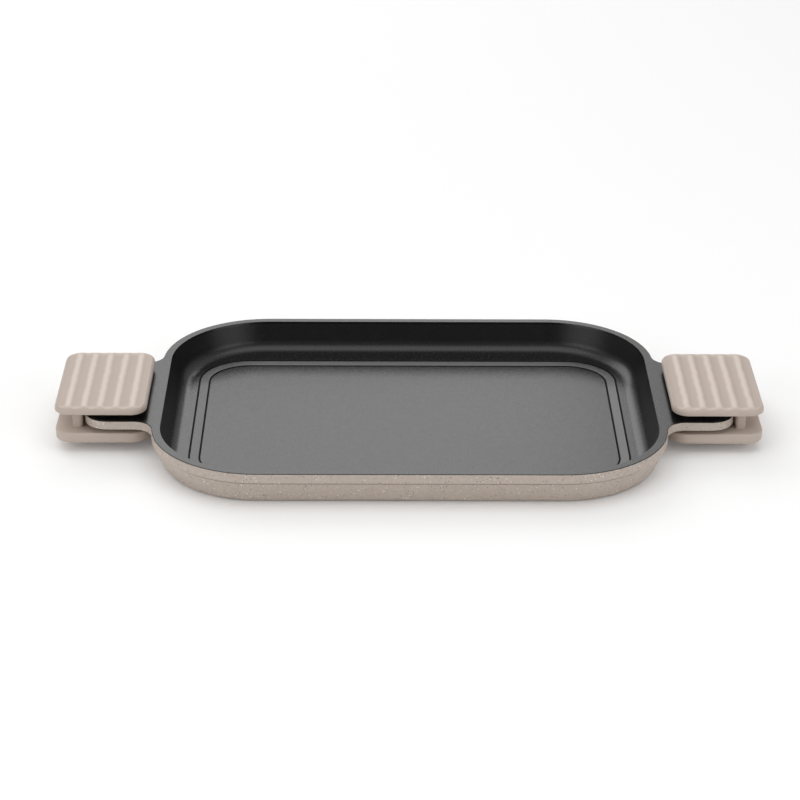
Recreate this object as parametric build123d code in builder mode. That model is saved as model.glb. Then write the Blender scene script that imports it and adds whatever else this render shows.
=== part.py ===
# Griddle plate: a cast aluminium pan with two carrying tabs and two slip-on silicone grips.
# X runs from grip to grip, Y from front to back, Z up from the surface it stands on.
import os
from math import atan, degrees
from build123d import *

# Casting, seen from above
body_length = 360.0
body_depth = 265.0
body_corner = 76.0
body_height = 25.0
rim_width = 6.1
rim_edge_bevel = 0.6

# Outside wall: a lip band under the rim, then a drafted wall to the base
lip_height = 6.8
lip_step = 1.2
wall_inset = 7.0
base_round = 5.5

# Cooking hollow
floor_level = 3.9
hollow_draft = 7.0
hollow_fillet = 10.0
ledge_end = 20.0
ledge_side = 27.6
ledge_corner = 34.0
channel_width = 7.2
channel_fall = 0.9
line_width = 1.4
line_depth = 0.8
line_overcut = 1.0

# Carrying tabs, cast in one with the pan
tab_reach = 48.5
tab_width = 101.0
tab_thickness = 6.2
tab_end_corner = 17.5
tab_root_fillet = 13.0
tab_overlap = 12.0

# Dark cooking coat, drawn thicker than it is so that it holds as a solid
coat_thickness = 0.4

# Steel plate pressed into the underside
plate_length = 290.0
plate_depth = 200.0
plate_corner = 48.0
plate_thickness = 0.8
plate_hole = 10.0
hole_pitch_x = 48.0
hole_pitch_y = 56.0

# Silicone grips
grip_length = 64.5
grip_width = 98.0
grip_corner = 11.0
upper_gap = 3.9
lower_gap = 3.8
upper_pad = 5.5
lower_pad = 8.4
lower_pad_reach = 3.0
lower_pad_corner = 14.0
wave_end = 1.45
wave_height = 0.42
edge_round = 3.2
inner_edge_bevel = 0.6
grip_web_clearance = 1.5
web_thickness = 7.0
web_width = 80.0
web_corner = 2.4
bearing_width = 7.0
bearing_pitch = 24.0
bearing_length = 38.0
grip_to_pan = 4.5

# Levels and places that follow from the sizes above
lip_level = body_height - lip_height
tab_under = body_height - tab_thickness
tab_end = body_length / 2 + tab_reach
hollow_length = body_length - 2 * rim_width
hollow_width = body_depth - 2 * rim_width
hollow_corner = body_corner - rim_width
ledge_level = floor_level + channel_fall
hollow_angle = degrees(atan(hollow_draft / (body_height - ledge_level)))
wall_angle = degrees(atan(wall_inset / lip_level))
channel_outer_length = hollow_length - 2 * ledge_end
channel_outer_depth = hollow_width - 2 * ledge_side
channel_outer_corner = hollow_corner - ledge_corner
wave_pitch = (grip_length - 2 * wave_end) / 5.5
pad_upper_face = body_height + upper_gap
pad_lower_face = tab_under - lower_gap
grip_mid = body_length / 2 + grip_to_pan + grip_length / 2
web_mid = tab_end + grip_web_clearance + web_thickness / 2


def tabs_sketch(level):
    """Pan and tabs seen from above, with the tab roots blended into the pan."""
    with BuildSketch(Plane.XY.offset(level)) as outline:
        RectangleRounded(2 * tab_end, tab_width, tab_end_corner)
        RectangleRounded(body_length, body_depth, body_corner)
        offset(amount=tab_root_fillet, kind=Kind.ARC)
        offset(amount=-tab_root_fillet, kind=Kind.ARC)
    return outline.sketch


def casting_solid():
    """Outside form of the casting, with no hollow in it."""
    with BuildPart() as casting:
        with BuildSketch(Plane.XY.offset(lip_level)):
            RectangleRounded(
                body_length - 2 * lip_step, body_depth - 2 * lip_step, body_corner - lip_step
            )
        extrude(amount=-lip_level, taper=wall_angle)
        fillet(casting.faces().sort_by(Axis.Z)[0].edges(), base_round)
        with BuildSketch(Plane.XY.offset(lip_level)):
            RectangleRounded(body_length, body_depth, body_corner)
        extrude(amount=lip_height)
        add(tabs_sketch(tab_under))
        extrude(amount=tab_thickness)
        rim_edges = casting.faces().sort_by(Axis.Z)[-1].outer_wire().edges()
        chamfer(rim_edges, rim_edge_bevel)
    return casting.part


def hollow_solid(grow):
    """The cooking hollow; grow makes it larger all round by the thickness of the coat."""
    ledge = ledge_level - grow
    drop = body_height - ledge
    with BuildPart() as hollow:
        with BuildSketch(Plane.XY.offset(body_height)):
            RectangleRounded(
                hollow_length + 2 * grow, hollow_width + 2 * grow, hollow_corner + grow
            )
        extrude(amount=-drop, taper=hollow_angle)
        fillet(hollow.faces().sort_by(Axis.Z)[0].edges(), hollow_fillet + grow)
        with BuildSketch(Plane.XY.offset(ledge)):
            RectangleRounded(channel_outer_length, channel_outer_depth, channel_outer_corner)
        with BuildSketch(Plane.XY.offset(ledge - channel_fall)):
            RectangleRounded(
                channel_outer_length - 2 * channel_width,
                channel_outer_depth - 2 * channel_width,
                channel_outer_corner - channel_width,
            )
        loft(ruled=True)
        for inset, level in ((0.0, ledge), (channel_width, ledge - channel_fall)):
            with BuildSketch(Plane.XY.offset(level + line_overcut)):
                side = line_width / 2 + grow - inset
                RectangleRounded(
                    channel_outer_length + 2 * side,
                    channel_outer_depth + 2 * side,
                    channel_outer_corner + side,
                )
                side = side - line_width - 2 * grow
                RectangleRounded(
                    channel_outer_length + 2 * side,
                    channel_outer_depth + 2 * side,
                    channel_outer_corner + side,
                    mode=Mode.SUBTRACT,
                )
            extrude(amount=-line_depth - line_overcut)
    return hollow.part


casting_form = casting_solid()
hollow_form = hollow_solid(0.0)
hollow_under_coat = hollow_solid(coat_thickness)

# Slab that takes the coat off the rim and the tab tops
with BuildPart() as coat_slab:
    with BuildSketch(Plane.XY.offset(body_height - coat_thickness)):
        Rectangle(2 * tab_end + 20, body_depth + 20)
    extrude(amount=2 * coat_thickness)

# Steel plate in the underside, with holes that the cast metal fills
with BuildPart() as induction_base:
    with BuildSketch():
        RectangleRounded(plate_length, plate_depth, plate_corner)
        with GridLocations(hole_pitch_x, hole_pitch_y, 5, 3):
            Circle(plate_hole / 2, mode=Mode.SUBTRACT)
    extrude(amount=plate_thickness)

# The casting: pan and both tabs in one
with BuildPart() as griddle_body:
    add(casting_form)
    add(coat_slab.part, mode=Mode.SUBTRACT)
    add(hollow_under_coat, mode=Mode.SUBTRACT)
    add(induction_base.part, mode=Mode.SUBTRACT)

# The dark coat over the hollow, the rim and the tab tops
with BuildPart() as cooking_coat:
    add(casting_form)
    add(coat_slab.part, mode=Mode.INTERSECT)
    add(hollow_under_coat)
    add(hollow_form, mode=Mode.SUBTRACT)


def pad_solid(side, face_level, thickness, up, reach, corner):
    """One ribbed pad of a grip: a blank with soft edges, cut to a section with five waves."""
    mid = side * grip_mid
    near = mid - side * (grip_length / 2 + reach)
    far = mid + side * grip_length / 2
    middle = face_level + up * (thickness - wave_height)
    half = wave_pitch / 2
    with BuildPart() as pad:
        with BuildSketch(Plane.XY.offset(face_level)) as blank:
            with Locations(((near + far) / 2, 0)):
                Rectangle(grip_length + reach, grip_width)
            inner = [v for v in blank.vertices() if abs(v.X - near) < 0.01]
            fillet(inner, corner)
            outer = [v for v in blank.vertices() if abs(v.X - far) < 0.01]
            fillet(outer, grip_corner)
        extrude(amount=up * thickness)
        flats = pad.faces().filter_by(Axis.Z).sort_by(lambda f: abs(f.center().Z - face_level))
        fillet(flats[-1].edges(), edge_round)
        flats = pad.faces().filter_by(Axis.Z).sort_by(lambda f: abs(f.center().Z - face_level))
        chamfer(flats[0].edges(), inner_edge_bevel)
        with BuildSketch(Plane.XZ) as section:
            with BuildLine():
                low, high = min(near, far), max(near, far)
                x = mid - 5.5 * half
                Polyline((x, middle), (low, middle), (low, face_level), (high, face_level),
                         (high, middle), (mid + 5.5 * half, middle))
                lift = -up * wave_height
                for step in range(11):
                    ThreePointArc((x, middle), (x + half / 2, middle + lift), (x + half, middle))
                    x = x + half
                    lift = -lift
            make_face()
        extrude(section.sketch, amount=grip_width, both=True, mode=Mode.INTERSECT)
    return pad.part


def web_solid(side):
    """The web that joins the two pads past the end of the tab."""
    with BuildPart() as web:
        with BuildSketch(Plane.XY.offset(pad_lower_face)):
            with Locations((side * web_mid, 0)):
                RectangleRounded(web_thickness, web_width, web_corner)
        extrude(amount=pad_upper_face - pad_lower_face)
    return web.part


def grip_bearings(side):
    """Three low ribs inside each pad; the tab slides between them."""
    mid = side * (tab_end + grip_web_clearance - bearing_length / 2)
    with BuildPart() as bearings:
        for level, height in ((pad_lower_face, lower_gap), (body_height, upper_gap)):
            with BuildSketch(Plane.XY.offset(level)):
                with Locations((mid, 0)):
                    with GridLocations(0.0, bearing_pitch, 1, 3):
                        Rectangle(bearing_length, bearing_width)
            extrude(amount=height)
    return bearings.part


# Left grip: upper pad, lower pad, web and the ribs that grip the tab
with BuildPart() as left_grip:
    add(pad_solid(-1, pad_upper_face, upper_pad, 1, 0.0, grip_corner))
    add(pad_solid(-1, pad_lower_face, lower_pad, -1, lower_pad_reach, lower_pad_corner))
    add(web_solid(-1))
    add(grip_bearings(-1))

# Right grip: the same moulding turned round
with BuildPart() as right_grip:
    add(pad_solid(1, pad_upper_face, upper_pad, 1, 0.0, grip_corner))
    add(pad_solid(1, pad_lower_face, lower_pad, -1, lower_pad_reach, lower_pad_corner))
    add(web_solid(1))
    add(grip_bearings(1))

os.makedirs("parts", exist_ok=True)
griddle_body.part.label = "griddle_body"
cooking_coat.part.label = "cooking_coat"
induction_base.part.label = "induction_base"
left_grip.part.label = "left_grip"
right_grip.part.label = "right_grip"
export_step(griddle_body.part, "parts/griddle_body.step")
export_step(cooking_coat.part, "parts/cooking_coat.step")
export_step(induction_base.part, "parts/induction_base.step")
export_step(left_grip.part, "parts/left_grip.step")
export_step(right_grip.part, "parts/right_grip.step")
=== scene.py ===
"""Griddle plate: finishes for the cast pan, its dark coat, the steel base and the silicone grips."""
import math

import bmesh
import bpy
from bpy.props import FloatProperty, FloatVectorProperty, PointerProperty
from mathutils import Matrix, Vector

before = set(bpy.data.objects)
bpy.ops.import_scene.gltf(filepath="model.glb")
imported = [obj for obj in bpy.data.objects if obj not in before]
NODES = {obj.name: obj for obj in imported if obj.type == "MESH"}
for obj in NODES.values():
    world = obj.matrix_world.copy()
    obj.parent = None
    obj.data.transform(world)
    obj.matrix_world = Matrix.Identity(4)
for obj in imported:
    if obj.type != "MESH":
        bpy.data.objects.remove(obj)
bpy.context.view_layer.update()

bl_info = {
    "name": "Griddle Plate",
    "version": (1, 0, 0),
    "blender": (4, 5, 0),
    "location": "View3D > Sidebar > Griddle",
    "description": "Finishes a cast griddle plate with slip-on silicone grips",
    "category": "Object",
}

MM = 0.001

# Both coats: the size of the clusters of flecks. The outer coat: the level and half the height of the
# band of painted shade in the crease under the lip.
FLECK_CLUSTER = 13.0 * MM
LIP_SHADE_LEVEL = 17.1 * MM
LIP_SHADE_REACH = 0.55 * MM

# The two lines round the floor, each as half its length, half its width and its corner.
LINE_OUTER = (153.9 * MM, 98.8 * MM, 35.9 * MM)
LINE_INNER = (146.7 * MM, 91.6 * MM, 28.7 * MM)
LINE_WIDTH = 1.6 * MM
LINE_ROUGHNESS = 0.95

# The cooking coat: the levels between which it turns dull, how dull, and the level just under the
# rim where that ends.
WALL_START = 6.0 * MM
WALL_FULL = 13.0 * MM
WALL_ROUGHNESS = 0.36
WALL_END = 23.5 * MM

# The ribs on the upper pads: the middle one's distance from the pan's middle, their spacing, how far
# they wander, where they fade out across the grip, and the levels between which they set in.
RIB_MIDDLE = 216.75 * MM
RIB_PITCH = 11.2 * MM
RIB_SWAY = 0.7 * MM
RIB_FADE_START = 42.0 * MM
RIB_FADE_END = 47.0 * MM
RIB_LEVEL_START = 33.0 * MM
RIB_LEVEL_FULL = 33.5 * MM

# Each lamp: its name, its place, its width and height, and its power in watts. All face the pan.
LAMPS = (
    ("lamp_behind", (-0.85, 1.95, 1.46), 3.0, 1.2, 19.0),
    ("lamp_above", (0.0, -0.1, 1.9), 2.2, 1.5, 9.5),
    ("lamp_front_left", (-1.5, -1.4, 0.95), 1.8, 1.2, 10.5),
    ("lamp_front_right", (1.5, -1.4, 0.95), 1.8, 1.2, 10.5),
)

# The world: the side that its light comes from, and its least and most strength.
SKY_SIDE = (-0.08, 0.4, 0.91)
SKY_LEAST = 0.03
SKY_MOST = 0.68

# How much white the floor adds for the camera, and how the camera is turned and aimed.
FLOOR_LIFT = 0.08
CAMERA_YAW = math.radians(0.56)
CAMERA_ROLL = math.radians(0.36)
CAMERA_AIM = (-0.0064, 0.0, 0.0185)


def from_hex(text):
    """The three parts of an sRGB hex colour, each from 0 to 1."""
    text = text.lstrip("#")
    return tuple(int(text[i:i + 2], 16) / 255 for i in (0, 2, 4))


def linear(colour):
    """An sRGB colour, as hex or as three parts, in Blender's linear light with full alpha."""
    parts = from_hex(colour) if isinstance(colour, str) else tuple(colour)[:3]
    return tuple(c / 12.92 if c <= 0.04045 else ((c + 0.055) / 1.055) ** 2.4 for c in parts) + (1.0,)


def add_node(tree, kind, links=(), **settings):
    """Adds a node; settings that start with in_ are its inputs, and the others its attributes."""
    node = tree.nodes.new(kind)
    for key, value in settings.items():
        if key.startswith("in_"):
            name = key[3:].replace("_", " ")
            node.inputs[int(name) if name.isdigit() else name].default_value = value
        else:
            setattr(node, key, value)
    for source, target in links:
        tree.links.new(source, node.inputs[target])
    return node


def new_material(name):
    """An empty node material with its Principled shader, already wired to the output."""
    material = bpy.data.materials.new(name)
    material.use_nodes = True
    tree = material.node_tree
    tree.nodes.clear()
    shader = add_node(tree, "ShaderNodeBsdfPrincipled")
    add_node(tree, "ShaderNodeOutputMaterial", links=((shader.outputs[0], "Surface"),))
    return material, tree, shader


def dress(node, material):
    """Gives one CAD node's object a material and leaves its shape alone."""
    piece = NODES[node]
    piece.data.materials.clear()
    piece.data.materials.append(material)


def flecks(tree, place, size_mm, share, seed):
    """Specks as a 0 to 1 mask: a share of the Voronoi cells carry one, in loose clusters.

    size_mm is the size of a cell, and a speck is a little over half as wide.
    """
    cells = add_node(
        tree, "ShaderNodeTexVoronoi", links=((place, "Vector"),),
        voronoi_dimensions="4D", in_W=seed, in_Scale=1 / (size_mm * MM), in_Randomness=1.0,
    )
    cluster = add_node(
        tree, "ShaderNodeTexNoise", links=((place, "Vector"),),
        noise_dimensions="4D", in_W=seed, in_Scale=1 / FLECK_CLUSTER, in_Detail=2.0,
    ).outputs["Fac"]
    limit = add_node(
        tree, "ShaderNodeMapRange", links=((cluster, "Value"),),
        in_From_Min=0.38, in_From_Max=0.68, in_To_Min=share * 0.2, in_To_Max=share * 2.4,
    ).outputs[0]
    chosen = add_node(
        tree, "ShaderNodeMath", links=((cells.outputs["Color"], 0), (limit, 1)), operation="LESS_THAN",
    )
    near = add_node(
        tree, "ShaderNodeMapRange", links=((cells.outputs["Distance"], "Value"),),
        interpolation_type="SMOOTHSTEP", in_From_Min=0.36, in_From_Max=0.2,
        in_To_Min=0.0, in_To_Max=1.0,
    )
    return add_node(
        tree, "ShaderNodeMath", links=((chosen.outputs[0], 0), (near.outputs[0], 1)),
        operation="MULTIPLY",
    ).outputs[0]


def outline_distance(tree, place, half_x, half_y, corner):
    """How far outside a rounded rectangle a point is, seen from above, in metres.

    Inside it is negative, and goes no lower than minus the corner.
    """
    flat = add_node(
        tree, "ShaderNodeVectorMath", links=((place, 0),), operation="MULTIPLY", in_1=(1.0, 1.0, 0.0),
    ).outputs[0]
    folded = add_node(tree, "ShaderNodeVectorMath", links=((flat, 0),), operation="ABSOLUTE").outputs[0]
    past = add_node(
        tree, "ShaderNodeVectorMath", links=((folded, 0),), operation="SUBTRACT",
        in_1=(half_x - corner, half_y - corner, 0.0),
    ).outputs[0]
    outside = add_node(
        tree, "ShaderNodeVectorMath", links=((past, 0),), operation="MAXIMUM", in_1=(0.0, 0.0, 0.0),
    ).outputs[0]
    reach = add_node(
        tree, "ShaderNodeVectorMath", links=((outside, 0),), operation="LENGTH",
    ).outputs["Value"]
    return add_node(
        tree, "ShaderNodeMath", links=((reach, 0),), operation="SUBTRACT", in_1=corner,
    ).outputs[0]


def outline_mask(tree, distance, width):
    """1 where a distance is nothing, fading to 0 within half a width."""
    gap = add_node(tree, "ShaderNodeMath", links=((distance, 0),), operation="ABSOLUTE").outputs[0]
    return add_node(
        tree, "ShaderNodeMapRange", links=((gap, "Value"),), interpolation_type="SMOOTHSTEP",
        in_From_Min=width * 0.5, in_From_Max=width * 0.3, in_To_Min=0.0, in_To_Max=1.0,
    ).outputs[0]


def rib_masks(tree, place):
    """Crests and troughs of the upper pads' ribs, each 0 to 1 and fading before the pad's edges."""
    parts = add_node(tree, "ShaderNodeSeparateXYZ", links=((place, 0),))
    sway = add_node(
        tree, "ShaderNodeTexNoise", links=((place, "Vector"),), in_Scale=1 / (9 * MM), in_Detail=1.0,
    ).outputs["Fac"]
    sway = add_node(
        tree, "ShaderNodeMapRange", links=((sway, "Value"),),
        in_To_Min=-RIB_SWAY - RIB_MIDDLE, in_To_Max=RIB_SWAY - RIB_MIDDLE,
    ).outputs[0]
    across = add_node(tree, "ShaderNodeMath", links=((parts.outputs["X"], 0),), operation="ABSOLUTE")
    across = add_node(
        tree, "ShaderNodeMath", links=((across.outputs[0], 0), (sway, 1)), operation="ADD",
    ).outputs[0]
    turn = add_node(
        tree, "ShaderNodeMath", links=((across, 0),), operation="MULTIPLY", in_1=math.tau / RIB_PITCH,
    ).outputs[0]
    wave = add_node(tree, "ShaderNodeMath", links=((turn, 0),), operation="COSINE").outputs[0]
    crest = add_node(
        tree, "ShaderNodeMapRange", links=((wave, "Value"),), interpolation_type="SMOOTHSTEP",
        in_From_Min=0.35, in_From_Max=1.05, in_To_Min=0.0, in_To_Max=1.0,
    ).outputs[0]
    trough_shade = add_node(
        tree, "ShaderNodeMapRange", links=((wave, "Value"),), interpolation_type="SMOOTHSTEP",
        in_From_Min=0.7, in_From_Max=-0.3, in_To_Min=0.0, in_To_Max=1.0,
    ).outputs[0]
    aside = add_node(tree, "ShaderNodeMath", links=((parts.outputs["Y"], 0),), operation="ABSOLUTE")
    inside = add_node(
        tree, "ShaderNodeMapRange", links=((aside.outputs[0], "Value"),), interpolation_type="SMOOTHSTEP",
        in_From_Min=RIB_FADE_END, in_From_Max=RIB_FADE_START, in_To_Min=0.0, in_To_Max=1.0,
    ).outputs[0]
    top = add_node(
        tree, "ShaderNodeMapRange", links=((parts.outputs["Z"], "Value"),),
        in_From_Min=RIB_LEVEL_START, in_From_Max=RIB_LEVEL_FULL, in_To_Min=0.0, in_To_Max=1.0,
    ).outputs[0]
    where = add_node(
        tree, "ShaderNodeMath", links=((inside, 0), (top, 1)), operation="MULTIPLY",
    ).outputs[0]
    return tuple(
        add_node(tree, "ShaderNodeMath", links=((mask, 0), (where, 1)), operation="MULTIPLY").outputs[0]
        for mask in (crest, trough_shade)
    )


def mixed(tree, factor, under, over):
    """One colour over another by a factor; each colour is hex or a node's output."""
    node = add_node(tree, "ShaderNodeMix", links=((factor, "Factor"),), data_type="RGBA")
    for socket, colour in ((6, under), (7, over)):
        if isinstance(colour, bpy.types.NodeSocket):
            tree.links.new(colour, node.inputs[socket])
        else:
            node.inputs[socket].default_value = linear(colour)
    return node.outputs[2]


def speckled_ceramic_coat(colour):
    """Sprayed ceramic coat on cast aluminium: satin taupe with white and dark brown flecks.

    A narrow band of painted shade darkens the coat where the lip meets the wall, so that the crease there
    reads.
    """
    material, tree, shader = new_material("speckled_ceramic_coat")
    place = add_node(tree, "ShaderNodeTexCoord").outputs["Object"]
    mottle = add_node(
        tree, "ShaderNodeTexNoise", links=((place, "Vector"),),
        in_Scale=1 / (2.5 * MM), in_Detail=3.0, in_Roughness=0.6,
    ).outputs["Fac"]
    soft = add_node(
        tree, "ShaderNodeMapRange", links=((mottle, "Value"),),
        in_From_Min=0.35, in_From_Max=0.65, in_To_Min=0.0, in_To_Max=0.35,
    ).outputs[0]
    tone = mixed(tree, soft, colour, "#D3C9BE")
    pale = flecks(tree, place, 1.5, 0.30, 3.0)
    tone = mixed(tree, pale, tone, "#F6F0EA")
    fine = flecks(tree, place, 0.9, 0.24, 3.3)
    tone = mixed(tree, fine, tone, "#EFE5DB")
    dark = flecks(tree, place, 1.2, 0.34, 3.6)
    tone = mixed(tree, dark, tone, "#45302A")
    height = add_node(tree, "ShaderNodeSeparateXYZ", links=((place, 0),)).outputs["Z"]
    # Painted shade: a narrow darker band in the crease under the lip.
    lip_shade = add_node(
        tree, "ShaderNodeMath", links=((height, 0),), operation="COMPARE",
        in_1=LIP_SHADE_LEVEL, in_2=LIP_SHADE_REACH,
    ).outputs[0]
    lip_shade = add_node(
        tree, "ShaderNodeMath", links=((lip_shade, 0),), operation="MULTIPLY", in_1=0.5,
    ).outputs[0]
    tone = mixed(tree, lip_shade, tone, "#6A5B50")
    tree.links.new(tone, shader.inputs["Base Color"])
    shader.inputs["Roughness"].default_value = 0.42
    shader.inputs["IOR"].default_value = 1.5
    bump = add_node(
        tree, "ShaderNodeBump", links=((mottle, "Height"),), in_Strength=0.12, in_Distance=0.15 * MM,
    )
    tree.links.new(bump.outputs[0], shader.inputs["Normal"])
    return material


def granite_nonstick_coat(colour):
    """Sprayed fluoropolymer over cast aluminium: near black, satin, with a fine pale grain.

    The steep walls are duller than the floor. The two lines round it are coloured near black as painted
    shade, and are duller still. The grain is drawn coarser than a real one, so that it shows.
    """
    material, tree, shader = new_material("granite_nonstick_coat")
    place = add_node(tree, "ShaderNodeTexCoord").outputs["Object"]
    grain = add_node(
        tree, "ShaderNodeTexNoise", links=((place, "Vector"),),
        in_Scale=1 / (0.9 * MM), in_Detail=4.0, in_Roughness=0.7,
    ).outputs["Fac"]
    grit = add_node(
        tree, "ShaderNodeMapRange", links=((grain, "Value"),),
        in_From_Min=0.5, in_From_Max=0.78, in_To_Min=0.0, in_To_Max=0.12,
    ).outputs[0]
    tone = mixed(tree, grit, colour, "#6E6E6C")
    specks = flecks(tree, place, 1.1, 0.2, 5.0)
    part = add_node(
        tree, "ShaderNodeMath", links=((specks, 0),), operation="MULTIPLY", in_1=0.12,
    ).outputs[0]
    tone = mixed(tree, part, tone, "#A3A3A0")
    from_outer = outline_distance(tree, place, *LINE_OUTER)
    from_inner = outline_distance(tree, place, *LINE_INNER)
    outer = outline_mask(tree, from_outer, LINE_WIDTH)
    inner = outline_mask(tree, from_inner, LINE_WIDTH)
    lines = add_node(
        tree, "ShaderNodeMath", links=((outer, 0), (inner, 1)), operation="MAXIMUM",
    ).outputs[0]
    # Painted shade: the coat in the two lines round the floor is coloured near black.
    tone = mixed(tree, lines, tone, "#050505")
    tree.links.new(tone, shader.inputs["Base Color"])
    rough = add_node(
        tree, "ShaderNodeMapRange", links=((grain, "Value"),),
        in_From_Min=0.3, in_From_Max=0.7, in_To_Min=0.19, in_To_Max=0.3,
    ).outputs[0]
    height = add_node(tree, "ShaderNodeSeparateXYZ", links=((place, 0),)).outputs["Z"]
    wall = add_node(
        tree, "ShaderNodeMapRange", links=((height, "Value"),), interpolation_type="SMOOTHSTEP",
        in_From_Min=WALL_START, in_From_Max=WALL_FULL, in_To_Min=0.0, in_To_Max=1.0,
    ).outputs[0]
    below_rim = add_node(
        tree, "ShaderNodeMath", links=((height, 0),), operation="LESS_THAN", in_1=WALL_END,
    ).outputs[0]
    wall = add_node(
        tree, "ShaderNodeMath", links=((wall, 0), (below_rim, 1)), operation="MULTIPLY",
    ).outputs[0]
    walls = add_node(
        tree, "ShaderNodeMix", links=((wall, "Factor"), (rough, "A")),
        data_type="FLOAT", in_3=WALL_ROUGHNESS,
    ).outputs[0]
    dull = add_node(
        tree, "ShaderNodeMix", links=((lines, "Factor"), (walls, "A")),
        data_type="FLOAT", in_3=LINE_ROUGHNESS,
    ).outputs[0]
    tree.links.new(dull, shader.inputs["Roughness"])
    shader.inputs["IOR"].default_value = 1.5
    bump = add_node(
        tree, "ShaderNodeBump", links=((grain, "Height"),), in_Strength=0.4, in_Distance=0.14 * MM,
    )
    tree.links.new(bump.outputs[0], shader.inputs["Normal"])
    return material


def moulded_silicone(colour):
    """Compression-moulded silicone: matt taupe, faintly dusty, with painted light and shade on its ribs.

    The matt skin is drawn coarser than a real one, so that it shows.
    """
    material, tree, shader = new_material("moulded_silicone")
    place = add_node(tree, "ShaderNodeTexCoord").outputs["Object"]
    bloom = add_node(
        tree, "ShaderNodeTexNoise", links=((place, "Vector"),),
        in_Scale=1 / (14 * MM), in_Detail=4.0, in_Roughness=0.6,
    ).outputs["Fac"]
    soft = add_node(
        tree, "ShaderNodeMapRange", links=((bloom, "Value"),),
        in_From_Min=0.3, in_From_Max=0.7, in_To_Min=0.0, in_To_Max=0.22,
    ).outputs[0]
    tone = mixed(tree, soft, colour, "#D3C4B9")
    crest, trough_shade = rib_masks(tree, place)
    # Painted shade: the troughs between the ribs are coloured darker.
    tone = mixed(tree, trough_shade, tone, "#B6A69B")
    # Painted highlight: the crests of the ribs are coloured paler.
    crest_highlight = add_node(
        tree, "ShaderNodeMath", links=((crest, 0),), operation="MULTIPLY", in_1=0.75,
    ).outputs[0]
    tone = mixed(tree, crest_highlight, tone, "#D9CBBF")
    tree.links.new(tone, shader.inputs["Base Color"])
    shader.inputs["Roughness"].default_value = 0.52
    shader.inputs["IOR"].default_value = 1.41
    shader.inputs["Sheen Weight"].default_value = 0.15
    shader.inputs["Sheen Roughness"].default_value = 0.5
    matt = add_node(
        tree, "ShaderNodeTexNoise", links=((place, "Vector"),),
        in_Scale=1 / (0.7 * MM), in_Detail=2.0, in_Roughness=0.5,
    ).outputs["Fac"]
    bump = add_node(
        tree, "ShaderNodeBump", links=((matt, "Height"),), in_Strength=0.1, in_Distance=0.08 * MM,
    )
    tree.links.new(bump.outputs[0], shader.inputs["Normal"])
    return material


def brushed_stainless_steel(colour):
    """Rolled ferritic stainless steel, brushed along X, pressed into the underside.

    The brush lines are drawn coarser than real ones, so that they show.
    """
    material, tree, shader = new_material("brushed_stainless_steel")
    place = add_node(tree, "ShaderNodeTexCoord").outputs["Object"]
    along = add_node(
        tree, "ShaderNodeMapping", links=((place, "Vector"),), in_Scale=(1 / 0.04, 1 / 0.0004, 1 / 0.004),
    ).outputs[0]
    brush = add_node(
        tree, "ShaderNodeTexNoise", links=((along, "Vector"),), in_Scale=1.0, in_Detail=3.0,
    ).outputs["Fac"]
    tone = mixed(tree, brush, colour, "#D8D6D2")
    tree.links.new(tone, shader.inputs["Base Color"])
    shader.inputs["Metallic"].default_value = 1.0
    rough = add_node(
        tree, "ShaderNodeMapRange", links=((brush, "Value"),), in_To_Min=0.26, in_To_Max=0.42,
    ).outputs[0]
    tree.links.new(rough, shader.inputs["Roughness"])
    bump = add_node(
        tree, "ShaderNodeBump", links=((brush, "Height"),), in_Strength=0.12, in_Distance=0.05 * MM,
    )
    tree.links.new(bump.outputs[0], shader.inputs["Normal"])
    return material


class GriddleFinishes(bpy.types.PropertyGroup):
    """Colours of the griddle plate's finishes."""

    outer_colour: FloatVectorProperty(
        name="Outer coat", description="Taupe of the speckled coat outside", subtype="COLOR_GAMMA",
        size=3, min=0.0, max=1.0, default=from_hex("#BEB0A5"),
    )
    inner_colour: FloatVectorProperty(
        name="Cooking coat", description="Dark ground of the non-stick coat", subtype="COLOR_GAMMA",
        size=3, min=0.0, max=1.0, default=from_hex("#080808"),
    )
    grip_colour: FloatVectorProperty(
        name="Grips", description="Taupe of the silicone grips", subtype="COLOR_GAMMA",
        size=3, min=0.0, max=1.0, default=from_hex("#C5B6AA"),
    )
    base_colour: FloatVectorProperty(
        name="Base steel", description="Tint of the steel in the underside", subtype="COLOR_GAMMA",
        size=3, min=0.0, max=1.0, default=from_hex("#B9B7B2"),
    )


class GriddleStage(bpy.types.PropertyGroup):
    """Where the camera stands and how large the floor is."""

    camera_distance: FloatProperty(
        name="Camera distance", description="From the lens to the point looked at",
        default=1.8979, min=0.5, max=6.0, unit="LENGTH",
    )
    camera_pitch: FloatProperty(
        name="Camera pitch", description="How far the camera looks down",
        default=math.radians(25.0), subtype="ANGLE",
    )
    lens: FloatProperty(
        name="Lens", description="Focal length on a 36 mm sensor", default=119.07, min=20.0, max=300.0,
        unit="CAMERA",
    )
    floor_size: FloatProperty(
        name="Floor", description="Side of the square floor", default=4.4, min=1.0, unit="LENGTH",
    )


class GRIDDLE_OT_outer_coat(bpy.types.Operator):
    """Finish the outside of the casting with its speckled coat"""

    bl_idname = "griddle.outer_coat"
    bl_label = "Outer Coat"

    def execute(self, context):
        dress("griddle_body", speckled_ceramic_coat(context.scene.griddle_finishes.outer_colour))
        return {"FINISHED"}


class GRIDDLE_OT_cooking_coat(bpy.types.Operator):
    """Finish the hollow, the rim and the tab tops with the dark non-stick coat"""

    bl_idname = "griddle.cooking_coat"
    bl_label = "Cooking Coat"

    def execute(self, context):
        dress("cooking_coat", granite_nonstick_coat(context.scene.griddle_finishes.inner_colour))
        return {"FINISHED"}


class GRIDDLE_OT_base_plate(bpy.types.Operator):
    """Finish the steel plate in the underside"""

    bl_idname = "griddle.base_plate"
    bl_label = "Base Plate"

    def execute(self, context):
        dress("induction_base", brushed_stainless_steel(context.scene.griddle_finishes.base_colour))
        return {"FINISHED"}


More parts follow.
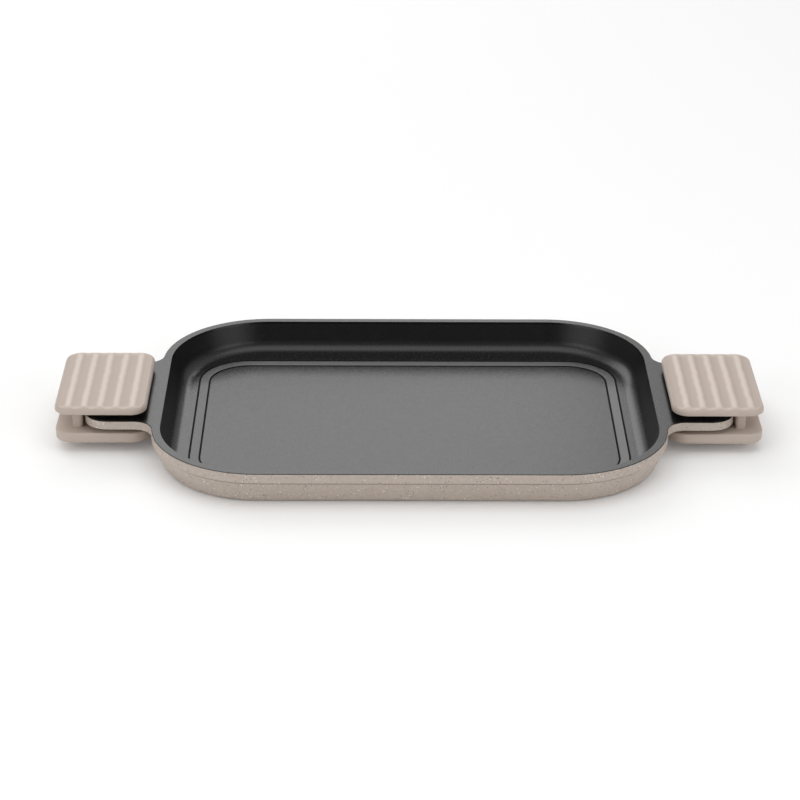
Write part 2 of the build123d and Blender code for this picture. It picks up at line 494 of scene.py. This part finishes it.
class GRIDDLE_OT_grips(bpy.types.Operator):
    """Finish both silicone grips"""

    bl_idname = "griddle.grips"
    bl_label = "Grips"

    def execute(self, context):
        silicone = moulded_silicone(context.scene.griddle_finishes.grip_colour)
        for node in ("left_grip", "right_grip"):
            dress(node, silicone)
        return {"FINISHED"}


def white_floor_paint():
    """Matt white studio floor, lifted for the camera alone so that it reads as paper white."""
    material, tree, shader = new_material("white_floor_paint")
    shader.inputs["Base Color"].default_value = linear("#F8F8F8")
    shader.inputs["Roughness"].default_value = 0.9
    shader.inputs["Specular IOR Level"].default_value = 0.0
    seen = add_node(tree, "ShaderNodeLightPath")
    glow = add_node(tree, "ShaderNodeEmission", in_Color=linear("#FFFFFF"))
    lift = add_node(
        tree, "ShaderNodeMath", links=((seen.outputs["Is Camera Ray"], 0),),
        operation="MULTIPLY", in_1=FLOOR_LIFT,
    )
    tree.links.new(lift.outputs[0], glow.inputs["Strength"])
    both = add_node(
        tree, "ShaderNodeAddShader", links=((shader.outputs[0], 0), (glow.outputs[0], 1)),
    )
    output = next(n for n in tree.nodes if n.type == "OUTPUT_MATERIAL")
    tree.links.new(both.outputs[0], output.inputs["Surface"])
    return material


def soft_lamp(name, place, width, height, power):
    """A rectangular soft lamp at a place, turned to the pan."""
    light = bpy.data.lights.new(name, "AREA")
    light.shape = "RECTANGLE"
    light.size = width
    light.size_y = height
    light.energy = power
    lamp = bpy.data.objects.new(name, light)
    bpy.context.scene.collection.objects.link(lamp)
    lamp.location = place
    lamp.rotation_euler = (-Vector(place)).to_track_quat("-Z", "Y").to_euler()


def studio_world():
    """White to the camera; its light comes mostly from above and behind, and little from in front."""
    world = bpy.data.worlds.new("studio_world")
    bpy.context.scene.world = world
    world.use_nodes = True
    tree = world.node_tree
    tree.nodes.clear()
    way = add_node(tree, "ShaderNodeTexCoord").outputs["Generated"]
    back = add_node(
        tree, "ShaderNodeVectorMath", links=((way, 0),), operation="DOT_PRODUCT", in_1=SKY_SIDE,
    ).outputs["Value"]
    level = add_node(
        tree, "ShaderNodeMapRange", links=((back, "Value"),), interpolation_type="SMOOTHSTEP",
        in_From_Min=-0.2, in_From_Max=0.95, in_To_Min=SKY_LEAST, in_To_Max=SKY_MOST,
    ).outputs[0]
    seen = add_node(tree, "ShaderNodeLightPath")
    strength = add_node(
        tree, "ShaderNodeMix", links=((seen.outputs["Is Camera Ray"], "Factor"), (level, "A")),
        data_type="FLOAT", in_3=1.0,
    )
    shown = add_node(
        tree, "ShaderNodeBackground", links=((strength.outputs[0], "Strength"),), in_Color=linear("#FFFFFF"),
    )
    add_node(tree, "ShaderNodeOutputWorld", links=((shown.outputs[0], "Surface"),))


class GRIDDLE_OT_stage(bpy.types.Operator):
    """Lay the floor, hang the lamps and set up the camera"""

    bl_idname = "griddle.stage"
    bl_label = "Stage"

    def execute(self, context):
        stage = context.scene.griddle_stage
        shape = bmesh.new()
        bmesh.ops.create_grid(shape, x_segments=1, y_segments=1, size=stage.floor_size / 2)
        mesh = bpy.data.meshes.new("floor")
        shape.to_mesh(mesh)
        shape.free()
        mesh.materials.append(white_floor_paint())
        floor = bpy.data.objects.new("floor", mesh)
        context.scene.collection.objects.link(floor)

        studio_world()
        for lamp in LAMPS:
            soft_lamp(*lamp)

        pitch, yaw, roll = stage.camera_pitch, CAMERA_YAW, CAMERA_ROLL
        forward = Vector((
            math.sin(yaw) * math.cos(pitch), math.cos(yaw) * math.cos(pitch), -math.sin(pitch),
        ))
        level_right = Vector((math.cos(yaw), -math.sin(yaw), 0.0))
        level_up = level_right.cross(forward)
        right = level_right * math.cos(roll) + level_up * math.sin(roll)
        up = level_up * math.cos(roll) - level_right * math.sin(roll)
        data = bpy.data.cameras.new("camera")
        data.sensor_fit = "HORIZONTAL"
        data.sensor_width = 36.0
        data.lens = stage.lens
        data.clip_start = 0.05
        data.clip_end = 50.0
        camera = bpy.data.objects.new("camera", data)
        context.scene.collection.objects.link(camera)
        place = Vector(CAMERA_AIM) - forward * stage.camera_distance
        turn = Matrix((right, up, -forward)).transposed().to_4x4()
        camera.matrix_world = Matrix.Translation(place) @ turn
        context.scene.camera = camera
        context.scene.view_settings.view_transform = "Standard"
        return {"FINISHED"}


class GRIDDLE_PT_panel(bpy.types.Panel):
    """The griddle plate's steps and colours"""

    bl_label = "Griddle Plate"
    bl_idname = "GRIDDLE_PT_panel"
    bl_space_type = "VIEW_3D"
    bl_region_type = "UI"
    bl_category = "Griddle"

    def draw(self, context):
        layout = self.layout
        for group in (context.scene.griddle_finishes, context.scene.griddle_stage):
            for key in group.__annotations__:
                layout.prop(group, key)
        for step in STEPS:
            layout.operator(step.bl_idname)


STEPS = (
    GRIDDLE_OT_outer_coat,
    GRIDDLE_OT_cooking_coat,
    GRIDDLE_OT_base_plate,
    GRIDDLE_OT_grips,
    GRIDDLE_OT_stage,
)
CLASSES = (GriddleFinishes, GriddleStage) + STEPS + (GRIDDLE_PT_panel,)


def register():
    for cls in CLASSES:
        bpy.utils.register_class(cls)
    bpy.types.Scene.griddle_finishes = PointerProperty(type=GriddleFinishes)
    bpy.types.Scene.griddle_stage = PointerProperty(type=GriddleStage)


def unregister():
    del bpy.types.Scene.griddle_stage
    del bpy.types.Scene.griddle_finishes
    for cls in reversed(CLASSES):
        bpy.utils.unregister_class(cls)


def main():
    register()
    bpy.ops.griddle.outer_coat()
    bpy.ops.griddle.cooking_coat()
    bpy.ops.griddle.base_plate()
    bpy.ops.griddle.grips()
    bpy.ops.griddle.stage()


if __name__ == "__main__":
    main()
